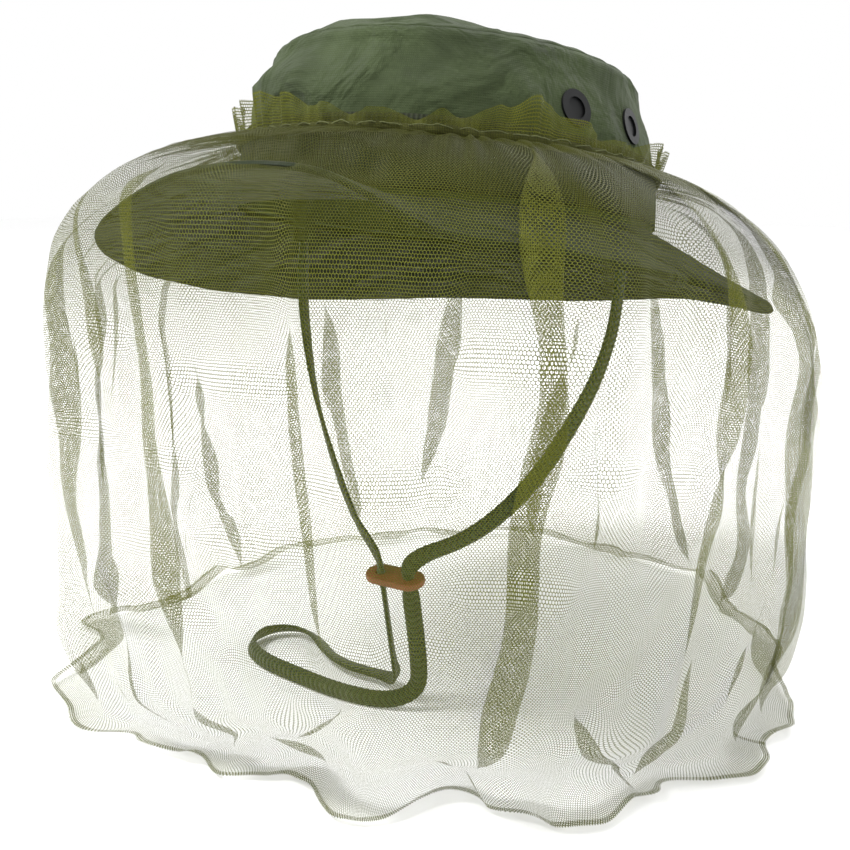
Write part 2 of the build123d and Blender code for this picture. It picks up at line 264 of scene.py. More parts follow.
def net_material(name, colour, thread_share, pitch, gathered=0.0):
    """Fine knitted polyester net: a honeycomb of soft thread with a slight gloss, see-through between.

    The thread is drawn about 0.2 mm wide, about twice the real one, so that it shows. Near the gathered
    edge the honeycomb is pulled shut in upright stripes, and there the thread is painted darker as shade
    where it lies close over the hat.
    """
    material, tree, place = new_material(name, on_cloth=True)
    scaled = node(tree, "VectorMath", {0: place, "Scale": 1 / pitch}, operation="SCALE")
    # Two sets of cells, the second half a cell on, and far enough out that no place is below zero
    cell, half_cell = (1, math.sqrt(3), 1), (0.5, math.sqrt(3) / 2, 0)
    far_out = (400, 400 * math.sqrt(3), 0)
    cells = node(tree, "VectorMath", {0: scaled, 1: far_out}, operation="ADD")
    cells_between = node(tree, "VectorMath", {0: cells, 1: half_cell}, operation="ADD")
    reaches = []
    for start in (cells, cells_between):
        within = node(tree, "VectorMath", {0: start, 1: cell}, operation="MODULO")
        centred = node(tree, "VectorMath", {0: within, 1: half_cell}, operation="SUBTRACT")
        away = node(tree, "VectorMath", {0: centred}, operation="ABSOLUTE")
        slanted = node(tree, "VectorMath", {0: away, 1: half_cell}, operation="DOT_PRODUCT")
        upright = node(tree, "VectorMath", {0: away, 1: (1, 0, 0)}, operation="DOT_PRODUCT")
        sides = {0: slanted, 1: upright}
        reaches.append(node(tree, "Math", sides, operation="MAXIMUM"))
    nearest = node(tree, "Math", {0: reaches[0], 1: reaches[1]}, operation="MINIMUM")

    patches = {"Vector": place, "Scale": 1 / (42 * MM), "Detail": 3.0}
    uneven = node(tree, "TexNoise", patches)
    widths = {0: uneven, 3: thread_share * 0.4, 4: thread_share * 0.6}
    half = node(tree, "MapRange", widths)
    if gathered:
        down = node(tree, "SeparateXYZ", {0: place}).outputs["Y"]
        fading = {0: down, 1: 0.0, 2: 60 * MM, 3: gathered, 4: 0.0}
        close = node(tree, "MapRange", fading, interpolation_type="SMOOTHSTEP")
        pleat_size = (1 / (3.8 * MM), 1 / (70 * MM), 1)
        stretched = node(tree, "VectorMath", {0: place, 1: pleat_size}, operation="MULTIPLY")
        pleats = node(tree, "TexNoise", {"Vector": stretched, "Scale": 1.0, "Detail": 1.0})
        stripes = node(tree, "MapRange", {0: pleats, 1: 0.35, 2: 0.65, 3: 0.3, 4: 1.6})
        half = node(tree, "Math", {0: close, 1: stripes, 2: half}, operation="MULTIPLY_ADD")
    inner = node(tree, "Math", {0: 0.5, 1: half}, operation="SUBTRACT")
    depth = node(tree, "Math", {0: nearest, 1: inner}, operation="SUBTRACT")
    thread = node(tree, "MapRange", {0: depth, 1: -0.03, 2: 0.02, 3: 0.0, 4: 1.0})
    surface = {"Alpha": thread, "Roughness": 0.6, "Specular IOR Level": 0.12}
    blend, dark, light = uneven, shade(colour, 0.8), shade(colour, 1.2)
    if gathered:
        # Thread lets light through from behind, so it looks darker where it lies close over the hat. That
        # is painted shade here: down to 30 mm below the elastic the thread is painted three quarters of the
        # way towards 0.3 of its colour, fading out by 100 mm, and the second colour below is that painted
        # shade
        painted_shade_reach = {0: down, 1: 30 * MM, 2: 100 * MM, 3: 0.75, 4: 0.0}
        tint = node(tree, "Mix", {"Factor": blend, "A": dark, "B": light}, data_type="RGBA")
        blend = node(tree, "MapRange", painted_shade_reach, interpolation_type="SMOOTHSTEP")
        dark, light = tint, shade(colour, 0.3)
    finish_material(tree, blend, dark, light, surface)
    return material


def webbing_material(name, colour, rib):
    """Woven cotton tape: matt, with close upright ribs crossed by finer rows, painted darker in the grooves
    and lighter on the ribs as light and shade.
    """
    material, tree, place = new_material(name, on_cloth=True)
    object_place = node(tree, "TexCoord").outputs["Object"]
    ribbing = {"Vector": place, "Scale": WAVE_REPEAT / rib, "Distortion": 0.5, "Detail": 1.0}
    ribs = node(tree, "TexWave", ribbing, bands_direction="X").outputs["Fac"]
    crossing = {**ribbing, "Scale": WAVE_REPEAT / (0.7 * rib)}
    rows = node(tree, "TexWave", crossing, bands_direction="Y").outputs["Fac"]
    height = node(tree, "Math", {0: rows, 1: 0.35, 2: ribs}, operation="MULTIPLY_ADD")
    specks = {"Vector": object_place, "Scale": 1 / (4.5 * MM), "Detail": 3.0}
    speck = node(tree, "TexNoise", specks)
    # Painted light and shade: the colour follows the weave's height, dark in the grooves and light on the
    # ribs, broken by specks
    blend = node(tree, "Math", {0: height, 1: speck}, operation="MULTIPLY")
    relief = node(tree, "Bump", {"Height": height, "Distance": 0.4 * MM, "Strength": 0.8})
    rough = node(tree, "MapRange", {0: speck, 3: 0.95, 4: 0.78})
    surface = {"Roughness": rough, "Normal": relief, "Specular IOR Level": 0.25}
    finish_material(tree, blend, shade(colour, 0.5), shade(colour, 1.7), surface)
    return material


def braid_material(name, colour, plait, width):
    """Flat cotton braid: strands cross in a herringbone, painted lighter where they stand up and darker
    between them, as light and shade.
    """
    material, tree, place = new_material(name, on_cloth=True)
    object_place = node(tree, "TexCoord").outputs["Object"]
    parts = node(tree, "SeparateXYZ", {0: place})
    # The strands slant one way on each half of the face, and meet along its middle
    half = width / 4
    x, y = parts.outputs["X"], parts.outputs["Y"]
    across = node(tree, "Math", {0: x, 1: half}, operation="PINGPONG")
    slant = node(tree, "Math", {0: across, 1: 1.0, 2: y}, operation="MULTIPLY_ADD")
    phase = node(tree, "Math", {0: slant, 1: math.tau / plait}, operation="MULTIPLY")
    ridge = node(tree, "Math", {0: phase}, operation="SINE")
    lane_phase = node(tree, "Math", {0: x, 1: math.tau / half}, operation="MULTIPLY")
    lane = node(tree, "Math", {0: lane_phase}, operation="COSINE")
    both = node(tree, "Math", {0: lane, 1: 0.4, 2: ridge}, operation="MULTIPLY_ADD")
    height = node(tree, "MapRange", {0: both, 1: -1.4, 2: 1.4})
    hairs = {"Vector": object_place, "Scale": 1 / (0.9 * MM), "Detail": 3.0}
    fuzz = node(tree, "TexNoise", hairs)
    # Painted light and shade: the colour follows the strands' height, light where they stand up and dark
    # between them, broken by fuzz
    blend = node(tree, "Math", {0: fuzz, 1: height}, operation="MULTIPLY")
    lift = node(tree, "Math", {0: blend, 1: 1.6}, operation="MULTIPLY")
    relief = node(tree, "Bump", {"Height": height, "Distance": 0.6 * MM, "Strength": 0.9})
    rough = node(tree, "MapRange", {0: fuzz, 3: 0.97, 4: 0.8})
    surface = {"Roughness": rough, "Normal": relief, "Specular IOR Level": 0.2, "Sheen Weight": 0.25}
    finish_material(tree, lift, shade(colour, 0.4), shade(colour, 1.9), surface)
    return material


def leather_material(name, colour):
    """Vegetable-tanned leather: warm, half matt, with a fine grain and stained patches."""
    material, tree, place = new_material(name)
    pores = {"Vector": place, "Scale": 1 / (0.8 * MM)}
    grain = node(tree, "TexVoronoi", pores, feature="DISTANCE_TO_EDGE")
    stains = {"Vector": place, "Scale": 1 / (6.2 * MM), "Detail": 5.0}
    stain = node(tree, "TexNoise", stains)
    relief = node(tree, "Bump", {"Height": grain, "Distance": 0.2 * MM, "Strength": 0.5})
    rough = node(tree, "MapRange", {0: stain, 3: 0.62, 4: 0.4})
    surface = {"Roughness": rough, "Normal": relief}
    finish_material(tree, stain, shade(colour, 0.5), shade(colour, 1.5), surface)
    return material


def enamel_material(name):
    """Black baked enamel on a stamped eyelet: glossy, scuffed dull in places."""
    material, tree, place = new_material(name)
    scuffs = {"Vector": place, "Scale": 1 / (1.4 * MM), "Detail": 4.0}
    scuff = node(tree, "TexNoise", scuffs)
    rough = node(tree, "MapRange", {0: scuff, 3: 0.3, 4: 0.55})
    surface = {"Roughness": rough, "Specular IOR Level": 0.2}
    finish_material(tree, scuff, from_hex("#040505"), from_hex("#0d0e0f"), surface)
    return material


def brass_material(name):
    """Stamped brass washer: yellow metal, dulled by handling."""
    material, tree, place = new_material(name)
    patches = {"Vector": place, "Scale": 1 / (2.5 * MM), "Detail": 4.0}
    dull = node(tree, "TexNoise", patches)
    rough = node(tree, "MapRange", {0: dull, 3: 0.3, 4: 0.55})
    surface = {"Metallic": 1.0, "Roughness": rough}
    finish_material(tree, dull, from_hex("#8d7340"), from_hex("#c9ab66"), surface)
    return material


# ---------------------------------------------------------------- mesh helpers
def shaped_sheet(columns, rows, size, place):
    """Lays a grid of cloth, size metres across and along, with each of its points where place(u, v) says.

    The sheet is closed where its edges meet. Returns the bmesh, so that it can be worked on further.
    """
    bm = bmesh.new()
    uv = bm.loops.layers.uv.new(CLOTH_UV)
    bmesh.ops.create_grid(bm, x_segments=columns, y_segments=rows, size=0.5)
    for face in bm.faces:
        for loop in face.loops:
            flat = loop.vert.co
            loop[uv].uv = ((flat.x + 0.5) * size[0], (flat.y + 0.5) * size[1])
    for vert in bm.verts:
        vert.co = place(vert.co.x + 0.5, vert.co.y + 0.5)
    bmesh.ops.remove_doubles(bm, verts=bm.verts, dist=1e-7)
    return bm


def mesh_object(name, bm):
    """An object in the scene that has the bmesh as its mesh."""
    mesh = bpy.data.meshes.new(name)
    bm.to_mesh(mesh)
    bm.free()
    made = bpy.data.objects.new(name, mesh)
    bpy.context.scene.collection.objects.link(made)
    return made


def finish_piece(bm, name, material, body, replaced=()):
    """Makes a shaded piece out of a bmesh, which rides on its body and hides the frame's parts that it
    replaces.
    """
    piece = mesh_object(name, bm)
    piece.data.materials.append(material)
    piece.data.polygons.foreach_set("use_smooth", [True] * len(piece.data.polygons))
    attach(piece, body)
    if replaced:
        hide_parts(*replaced)
    return piece


def thicken(piece, thickness):
    """Gives an open sheet its thickness, inwards from its face."""
    wall = piece.modifiers.new("thickness", "SOLIDIFY")
    wall.thickness = thickness
    wall.offset = -1.0


def apply_modifiers(piece):
    """Replaces a piece's mesh by what its modifiers make of it."""
    graph = bpy.context.evaluated_depsgraph_get()
    mesh = bpy.data.meshes.new_from_object(piece.evaluated_get(graph))
    old = piece.data
    piece.modifiers.clear()
    piece.data = mesh
    bpy.data.meshes.remove(old)


def outline(turn, out):
    """A point of the head opening's oval, pushed out, in the hat's x and y. Turn 0 is the front."""
    angle = math.radians(turn)
    return (HALF_WIDTH + out) * math.sin(angle), -(HALF_LENGTH + out) * math.cos(angle)


def ring_noise(turn, scale, level=0.0):
    """Smooth noise that closes on itself round the hat."""
    angle = math.radians(turn)
    return noise.noise(Vector((math.sin(angle) * scale, math.cos(angle) * scale, level)))


def paint_cad(node_name, material):
    """Gives a CAD node its material."""
    piece = frame["nodes"][node_name]
    if piece.data.materials:
        piece.data.materials[0] = material
    else:
        piece.data.materials.append(material)


# ---------------------------------------------------------------- crown
GIRTH = math.pi * (HALF_WIDTH + HALF_LENGTH)
CLOTH = 1.0 * MM
VENT_HOLE = 4.9 * MM
VENT_RIM = 8.5 * MM
SEAM_PUCKERS = 38


def side_inset(h):
    """How far the crown's side leans in at a height."""
    sizes = bpy.context.scene.hat_sizes
    lean = HALF_WIDTH - sizes.top_half_width
    arc = (sizes.side_height**2 + lean**2) / (2 * lean)
    return arc - math.sqrt(arc**2 - h**2)


def side_point(turn, h, out=0.0):
    """A point on the crown's side, moved outwards from it."""
    half_width = HALF_WIDTH - side_inset(h)
    half_length = half_width * HALF_LENGTH / HALF_WIDTH
    angle = math.radians(turn)
    return hat_point((half_width + out) * math.sin(angle), -(half_length + out) * math.cos(angle), h)


def vent_places():
    """The middle of each vent."""
    names = [name for name in frame["nodes"] if name.startswith(("vent_left", "vent_right"))]
    return [(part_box(name)[0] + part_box(name)[1]) / 2 for name in names]


def crumple(point, depth):
    """Height of the washed cloth's creases at a point: broad dents crossed by sharper folds."""
    broad = noise.noise(point * 21 + Vector((3.1, 0.4, 7.7)))
    leaning = Vector((point.x * 38 + point.z * 22, point.y * 38, point.z * 20))
    slanted = noise.noise(leaning + Vector((9, 2, 1)))
    ridge = 1 - 2.6 * abs(noise.noise(point * 29 + Vector((1.0, 8.0, 5.0))))
    small = noise.noise(point * 75 + Vector((4.0, 1.0, 9.0)))
    return depth * (0.8 * broad + 0.45 * slanted + 0.4 * max(0.0, ridge) - 0.25 + 0.12 * small)


# How far the soft side stands out at its middle in millimetres, at turns from the front to the left
CROWN_SLACK = [(0, 2), (60, 0.5), (110, -1), (180, 1), (230, 2), (270, 3), (305, 5), (335, 3.5)]


class HAT_OT_crown(bpy.types.Operator):
    """Makes the crown's side and tip of creased cotton"""

    bl_idname = "hat.crown"
    bl_label = "Crown"

    def execute(self, context):
        sizes = context.scene.hat_sizes
        cotton = cotton_material("washed_cotton_drill", sizes.cotton)
        vents = vent_places()

        def place_side(u, v):
            turn, h = 360 * u, v * sizes.side_height
            point = side_point(turn, h)
            out = (point - hat_up * point.dot(hat_up)).normalized()
            # No creases at the vents, the band or the seam's tape
            calm = smooth((min((point - vent).length for vent in vents) - VENT_RIM) / (10 * MM))
            below_seam = (1 - v) * sizes.side_height
            free = smooth((h - 24 * MM) / (16 * MM)) * smooth((below_seam - 5 * MM) / (12 * MM))
            slack = round_curve(CROWN_SLACK, turn) * MM * bump(below_seam - 17 * MM, 15 * MM)
            pucker = 0.25 * MM * bump(below_seam, 6 * MM) * math.sin(math.radians(turn * SEAM_PUCKERS))
            ridge = 0.7 * MM * bump(below_seam - 2.6 * MM, 1.7 * MM)
            return point + out * ((crumple(point, sizes.crease) + slack) * calm * free + pucker + ridge)

        bm = shaped_sheet(288, 48, (GIRTH, sizes.side_height), place_side)
        middles = {face: face.calc_center_median() for face in bm.faces}
        gone = [face for face in bm.faces if min((middles[face] - v).length for v in vents) < VENT_HOLE]
        bmesh.ops.delete(bm, geom=gone, context="FACES")
        sides = ("crown_side_front", "crown_side_rear")
        side = finish_piece(bm, "crown_side_cloth", cotton, "hat", sides)
        thicken(side, CLOTH)

        tip_arc = (sizes.top_half_width**2 + sizes.tip_rise**2) / (2 * sizes.tip_rise)

        def place_tip(u, v):
            turn, radius = 360 * u, sizes.top_half_width * (1 - v)
            h = sizes.side_height + sizes.tip_rise - tip_arc + math.sqrt(tip_arc**2 - radius**2)
            x, y = math.sin(math.radians(turn)), -math.cos(math.radians(turn)) * HALF_LENGTH / HALF_WIDTH
            point = hat_point(radius * x, radius * y, h)
            edge = v * sizes.top_half_width
            lift = crumple(point, sizes.crease * 1.15) * smooth(edge / (16 * MM))
            lift += 0.25 * MM * bump(edge, 6 * MM) * math.sin(math.radians(turn * SEAM_PUCKERS))
            lift += 0.6 * MM * bump(edge - 2.8 * MM, 1.8 * MM)
            return point + hat_up * lift

        bm = shaped_sheet(240, 44, (GIRTH, sizes.top_half_width), place_tip)
        tip = finish_piece(bm, "crown_tip_cloth", cotton, "hat", ("crown_tip",))
        thicken(tip, CLOTH)
        return {"FINISHED"}


# ---------------------------------------------------------------- brim
# Height of the brim's edge in millimetres, at turns from the front towards the wearer's left
BRIM_DROOPS = [
    (0, 1), (15, 1), (30, -15), (50, -20), (70, -24), (90, -27), (120, -28), (150, -22), (180, -26),
    (210, -30), (240, -36), (262, -36), (285, -32), (310, -24), (335, -13),
]
STITCH_ROWS = (2.5, 5.5, 12, 20, 28, 36, 44, 52, 55.2)
BRIM_MIDDLE = -1.0 * MM
BRIM_HALF_THICKNESS = 1.35 * MM
BRIM_HEM = 1.6 * MM


def brim_point(turn, out, above=0.0):
    """A point of the brim, out from the crown and above its middle layer."""
    width = bpy.context.scene.hat_sizes.brim_width
    edge_droop = round_curve(BRIM_DROOPS, turn) * MM
    # Where the brim hangs down its edge is drawn in a little, because the cloth doesn't stretch
    x, y = outline(turn, out * (0.35 + 0.65 * math.sqrt(1 - (edge_droop / width) ** 2)))
    droop = edge_droop * out / width
    droop += 1.2 * MM * noise.noise(Vector((x * 24, y * 24, 3.3))) * smooth(2 * out / width)
    return hat_point(x, y, BRIM_MIDDLE + droop + above)


class HAT_OT_brim(bpy.types.Operator):
    """Makes the brim's upper and lower cloth with their rows of stitching"""

    bl_idname = "hat.brim"
    bl_label = "Brim"

    def execute(self, context):
        sizes = context.scene.hat_sizes
        # Which side, how much darker than the crown's cloth it is painted as shade (deepest under the
        # brim), and what it stands for
        for side, dark, name, replaced in (
            (1, 0.38, "brim_top_cloth", ("brim_top",)),
            (-1, 0.28, "brim_under_cloth", ("brim_under", "brim_interlining")),
        ):

            def place(u, v):
                turn, out = 360 * u, v * sizes.brim_width
                roll = max(0.0, (out - sizes.brim_width + BRIM_HEM) / BRIM_HEM)
                thick = BRIM_HALF_THICKNESS * math.sqrt(max(0.0, 1 - roll**2))
                if roll == 0:
                    thick -= 0.35 * MM * sum(bump(out - row * MM, 0.6 * MM) for row in STITCH_ROWS)
                    x, y = outline(turn, out)
                    puff = noise.noise(Vector((x * 90, y * 90, side * 4.0)))
                    thick += 0.3 * MM * puff * smooth((sizes.brim_width - out) / (4 * MM)) * smooth(v * 4)
                return brim_point(turn, out, side * thick)

            # Painted shade: each side is the crown's cotton made darker, the underside most, for the shade
            # that falls on the brim
            cotton = cotton_material(f"{name}_drill", shade(sizes.cotton, dark)[:3])
            girth = GIRTH + math.tau * sizes.brim_width
            bm = shaped_sheet(320, 90, (girth, sizes.brim_width), place)
            if side > 0:
                bmesh.ops.reverse_faces(bm, faces=bm.faces)
            finish_piece(bm, name, cotton, "hat", replaced)
        return {"FINISHED"}


# ---------------------------------------------------------------- band, sweatband and fittings
BAND_LOW, BAND_HIGH = 2.6 * MM, 28.8 * MM
BAND_TACKS = 14
SWEATBAND_HEIGHT = 29.5 * MM
LINING_THREAD = 0.7 * MM


class HAT_OT_bands(bpy.types.Operator):
    """Makes the foliage band and the sweatband, and finishes the tapes, vents and washers"""

    bl_idname = "hat.bands"
    bl_label = "Bands and fittings"

    def execute(self, context):
        sizes = context.scene.hat_sizes
        webbing = webbing_material("ribbed_cotton_webbing", sizes.webbing, 1.9 * MM)

        def place_band(u, v):
            tack = (u * BAND_TACKS) % 1
            bow = 1.15 - 0.65 * bump(min(tack, 1 - tack), 0.035)
            return side_point(360 * u, BAND_LOW + (BAND_HIGH - BAND_LOW) * v, bow * MM)

        bm = shaped_sheet(420, 14, (GIRTH, BAND_HIGH - BAND_LOW), place_band)
        band = finish_piece(bm, "foliage_band_webbing", webbing, "hat", ("foliage_band",))
        thicken(band, 0.5 * MM)

        lining = cotton_material("plain_cotton_lining", shade(sizes.cotton, 0.8)[:3], LINING_THREAD)

        def place_sweatband(u, v):
            wavy = 0.25 * ring_noise(360 * u, 9, v)
            hem = 0.35 * (bump(v - 0.07, 0.03) + bump(v - 0.93, 0.03))
            return side_point(360 * u, 0.5 * MM + SWEATBAND_HEIGHT * v, (hem + wavy - 2.0) * MM)

        bm = shaped_sheet(240, 24, (GIRTH, SWEATBAND_HEIGHT), place_sweatband)
        bmesh.ops.reverse_faces(bm, faces=bm.faces)
        sweatband = finish_piece(bm, "sweatband_cloth", lining, "hat", ("sweatband",))
        thicken(sweatband, 0.8 * MM)

        colour = shade(sizes.cotton, 0.8)[:3]
        tape = cotton_material("cotton_binding_tape", colour, LINING_THREAD, own_uv=False)
        for name in ("tip_seam_tape", "cord_tab_left", "cord_tab_right"):
            paint_cad(name, tape)
        enamel = enamel_material("black_baked_enamel")
        for name in frame["nodes"]:
            if name.startswith(("vent_left", "vent_right")):
                paint_cad(name, enamel)
        paint_cad("vent_washers", brass_material("stamped_brass"))
        return {"FINISHED"}


# ---------------------------------------------------------------- chin cord and keeper
# The cord's route in millimetres, and which way the braid's face looks there
CORD_ROUTE = [
    ((81.65, -1.1, -10.7), (1, -0.2, 0)),
    ((82, -3, -34), (1, -0.2, 0)),
    ((77, -8, -60), (1, -0.3, 0.1)),
    ((68, -16, -83), (1, -0.6, 0.1)),
    ((57, -26, -105), (0.9, -1, 0)),
    ((44, -38, -122), (0.7, -1, -0.2)),
    ((32, -50, -131), (0.5, -1, -0.4)),
    ((21, -58, -135), (0.2, -1, -0.3)),
    ((14, -61.4, -141), (0.3, -1, 0)),
    ((14, -59.6, -150), (0.4, -1, 0)),
    ((14, -50.8, -193), (0.4, -1, 0.1)),
    ((12, -50, -205), (0.3, -1, 0.1)),
    ((1, -56, -210.9), (0.1, -1, 0.2)),
    ((-22, -60, -210.8), (0.1, -1, 0.25)),
    ((-50, -57, -210.8), (0, -1, 0.4)),
    ((-76, -53, -210.8), (-0.1, -1, 0.5)),
    ((-92, -43, -210.8), (-0.7, -0.7, 0.5)),
    ((-96, -27, -210.8), (-1, 0, 0.5)),
    ((-85, -15, -210.8), (-0.3, 0.7, 0.8)),
    ((-68, -18, -210.8), (0, 0.7, 0.9)),
    ((-51, -31, -210.8), (0.2, 0.4, 1)),
    ((-34, -37, -210.8), (0, 0.1, 1)),
    ((-14, -36, -211), (-0.2, 0, 1)),
    ((-2, -44, -206), (-0.8, -0.3, 0.5)),
    ((0, -50.8, -193), (-0.9, -0.5, 0)),
    ((0, -59.6, -150), (-0.9, -0.6, 0)),
    ((0, -61.4, -141), (-0.8, -0.8, 0)),
    ((-7, -58, -135), (-0.5, -1, -0.3)),
    ((-19, -50, -131), (-0.5, -1, -0.4)),
    ((-34, -38, -122), (-0.7, -1, -0.2)),
    ((-51, -26, -105), (-0.9, -0.7, 0)),
    ((-66, -16, -83), (-1, -0.3, 0.1)),
    ((-76, -8, -60), (-1, -0.1, 0.1)),
    ((-82, -3, -34), (-1, 0, 0)),
    ((-81.65, -1.1, -10.7), (-1, 0, 0)),
]
CORD_STEP = 0.9 * MM
PLAIT = 3.0 * MM
# The braid's width and thickness where it is drawn through the keeper and the tabs
PINCHED = (4.4 * MM, 3.6 * MM)


def spline_points(points):
    """Points of the smooth NURBS line that has these control points."""
    curve = bpy.data.curves.new("cord_line", "CURVE")
    curve.dimensions = "3D"
    curve.resolution_u = 24
    spline = curve.splines.new("NURBS")
    spline.points.add(len(points) - 1)
    for held, point in zip(spline.points, points):
        held.co = (*point, 1)
    spline.order_u = 3
    spline.use_endpoint_u = True
    holder = bpy.data.objects.new("cord_line", curve)
    mesh = bpy.data.meshes.new_from_object(holder)
    line = [vert.co.copy() for vert in mesh.vertices]
    bpy.data.objects.remove(holder)
    bpy.data.curves.remove(curve)
    bpy.data.meshes.remove(mesh)
    return line


def even_points(line, step):
    """The line with its points an even step apart, each point's place in the old list, and the length."""
    lengths = [0.0]
    for a, b in zip(line, line[1:]):
        lengths.append(lengths[-1] + (b - a).length)
    count = round(lengths[-1] / step)
    made, places, i = [], [], 0
    for k in range(count + 1):
        at = lengths[-1] * k / count
        while i < len(line) - 2 and lengths[i + 1] < at:
            i += 1
        share = min(1.0, (at - lengths[i]) / max(lengths[i + 1] - lengths[i], 1e-12))
        made.append(line[i].lerp(line[i + 1], share))
        places.append(i + share)
    return made, places, lengths[-1]


class HAT_OT_cord(bpy.types.Operator):
    """Makes the braided chin cord and its leather keeper"""

    bl_idname = "hat.cord"
    bl_label = "Chin cord and keeper"

    def execute(self, context):
        sizes = context.scene.cord_sizes
        points = [Vector(place) * MM for place, _ in CORD_ROUTE]
        raw = spline_points(points)
        line, places, length = even_points(raw, CORD_STEP)
        keeper_low, keeper_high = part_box("keeper")
        keeper_middle = (keeper_low + keeper_high) / 2
        last = len(line) - 1

        rings = []
        for i, point in enumerate(line):
            ahead = (line[min(i + 1, last)] - line[max(i - 1, 0)]).normalized()
            at = places[i] / (len(raw) - 1) * (len(points) - 2) + 0.5
            first = min(int(at), len(points) - 2)
            face = Vector(CORD_ROUTE[first][1]).normalized().lerp(
                Vector(CORD_ROUTE[first + 1][1]).normalized(), at - first
            )
            face = (face - ahead * face.dot(ahead)).normalized()
            near_keeper = (point - keeper_middle).length < 16 * MM
            at_keeper = bump(point.z - keeper_middle.z, 4.5 * MM) * near_keeper
            pinch = max(at_keeper, smooth(1 - min(i, last - i) / 12))
            rings.append((point, face, ahead.cross(face), pinch))

        def place(u, v):
            i = round(v * last)
            point, face, side, pinch = rings[i]
            half_width = (sizes.width * (1 - pinch) + PINCHED[0] * pinch) / 2
            half_thick = (sizes.thickness * (1 - pinch) + PINCHED[1] * pinch) / 2
            angle = math.tau * (u + 0.25)
            # A slab with soft edges, on which the plait's strands stand out along both sides
            across = math.copysign(abs(math.cos(angle)) ** 0.75, math.cos(angle))
            up = math.copysign(abs(math.sin(angle)) ** 0.7, math.sin(angle))
            strands = math.tau * i * CORD_STEP / PLAIT + (0 if across > 0 else math.pi)
            lobes = 1 + 0.03 * math.cos(strands)
            weave = 1 + 0.06 * math.cos(strands + 2.2 * across)
            return point + side * (across * half_width * lobes) + face * (up * half_thick * weave)

        round_it = 2 * (sizes.width + sizes.thickness)
        braid = braid_material("flat_cotton_braid", sizes.cotton, PLAIT, sizes.width)
        bm = shaped_sheet(28, last, (round_it, length), place)
        bmesh.ops.holes_fill(bm, edges=[e for e in bm.edges if e.is_boundary])
        bmesh.ops.recalc_face_normals(bm, faces=bm.faces)
        cord = finish_piece(bm, "chin_cord_braid", braid, "chin_cord", ("chin_cord",))
        paint_cad("keeper", leather_material("tanned_leather", sizes.leather))
        return {"FINISHED"}


# ---------------------------------------------------------------- net
ELASTIC_HEIGHT = 22 * MM
# Turn from the front towards the wearer's left, then in millimetres: reach and height that draw the
# shoulder out over the brim, reach and height of its fullest place, and the reach at three levels below it
NET_STATIONS = [
    (0, 172, 38, 166, 5, 150, 138, 112),
    (22, 171, 34, 164, 2, 151, 139, 116),
    (45, 166, 28, 162, -8, 152, 140, 119),
    (66, 152, 22, 157, -24, 152, 148, 132),
    (90, 138, 14, 153, -40, 155, 155, 144),
    (112, 140, 12, 156, -46, 157, 158, 152),
    (145, 160, 6, 163, -50, 166, 168, 166),
    (180, 162, 0, 167, -50, 170, 176, 176),
    (225, 156, -6, 170, -48, 173, 174, 172),
    (270, 138, -8, 166, -36, 170, 171, 166),
    (296, 138, 2, 164, -26, 169, 170, 170),
    (315, 150, 12, 164, -14, 169, 169, 164),
    (338, 168, 30, 167, 0, 160, 152, 136),
]
# Soft standing folds: turn, reach in millimetres, half width in degrees, drift in degrees down the net
NET_FOLDS = [
    (-8, 5, 2.4, -3), (-31, 8, 4.0, 4), (-46, 9, 4.5, 8), (60, 7, 3.4, 5), (74, -7, 4.0, -6),
    (86, 8, 3.6, 10), (101, -7, 4.0, 6), (116, 9, 4.5, -9), (146, 8, 4.5, 8), (183, 9, 5.0, 9),
    (222, 9, 4.5, -9), (252, 8, 4.0, 9), (281, 9, 4.0, 7), (12, 6, 5.0, 7), (-64, 8, 3.5, -7),
]
# Places where the net folds over on itself: its turn at the top and the bottom of the fold, where the
# fold starts and ends as a share of the way down, its half width and its overlap in degrees
NET_OVERLAPS = [
    (41, 35, 0.02, 1.1, 3.6, 10.5), (-10, -12, 0.1, 0.8, 1.9, 5.0), (-20, -27, 0.25, 1.1, 2.2, 6.4),
    (-93, -105, 0.42, 1.1, 3.2, 9.5), (56, 70, 0.02, 0.55, 2.6, 7.5), (82, 97, 0.04, 0.7, 3.0, 9.0),
    (104, 88, 0.12, 0.9, 2.8, 8.0), (66, 60, 0.4, 1.1, 2.4, 6.6), (-44, -63, 0.03, 0.5, 2.6, 7.5),
    (-72, -52, 0.1, 0.85, 2.4, 6.8), (128, 138, 0.05, 1.1, 4.0, 11.5), (166, 154, 0.2, 1.1, 3.4, 9.5),
    (204, 215, 0.05, 0.9, 4.2, 12.0), (238, 226, 0.3, 1.1, 3.2, 9.0), (186, 194, 0.45, 1.1, 3.0, 8.5),
    (18, -30, 0.76, 1.06, 3.8, 11.0), (2, -44, 0.84, 1.08, 3.2, 9.0), (46, 74, 0.78, 1.08, 3.6, 10.5),
    (84, 58, 0.72, 1.05, 3.0, 8.5), (-60, -82, 0.74, 1.05, 3.0, 8.5), (26, 44, 0.86, 1.1, 3.0, 8.5),
]
SHORT_CREASES = 13
NET_COLUMNS, NET_ROWS = 330, 60
# How many points a line down the net has, and how far its foot lies out on the table
LINE_POINTS = 240
FLARE = 14 * MM
SETTLING_FRAMES = 16
CLOTH_FEEL = {
    "quality": 5, "mass": 0.01, "air_damping": 3.0, "pin_stiffness": 0.6, "tension_stiffness": 10,
    "compression_stiffness": 6, "shear_stiffness": 3, "bending_stiffness": 0.15,
}


def station(column, turn):
    """A column of the stations at a turn, in metres."""
    return round_curve([(row[0], row[column]) for row in NET_STATIONS], turn) * MM


def direction(turn):
    """Straight out from the head at a turn."""
    angle = math.radians(turn)
    return Vector((math.sin(angle), -math.cos(angle), 0))


def elastic_turn(turn):
    """The oval's own turn for a true direction."""
    angle = math.radians(turn)
    return math.degrees(math.atan2(HALF_LENGTH * math.sin(angle), HALF_WIDTH * math.cos(angle)))


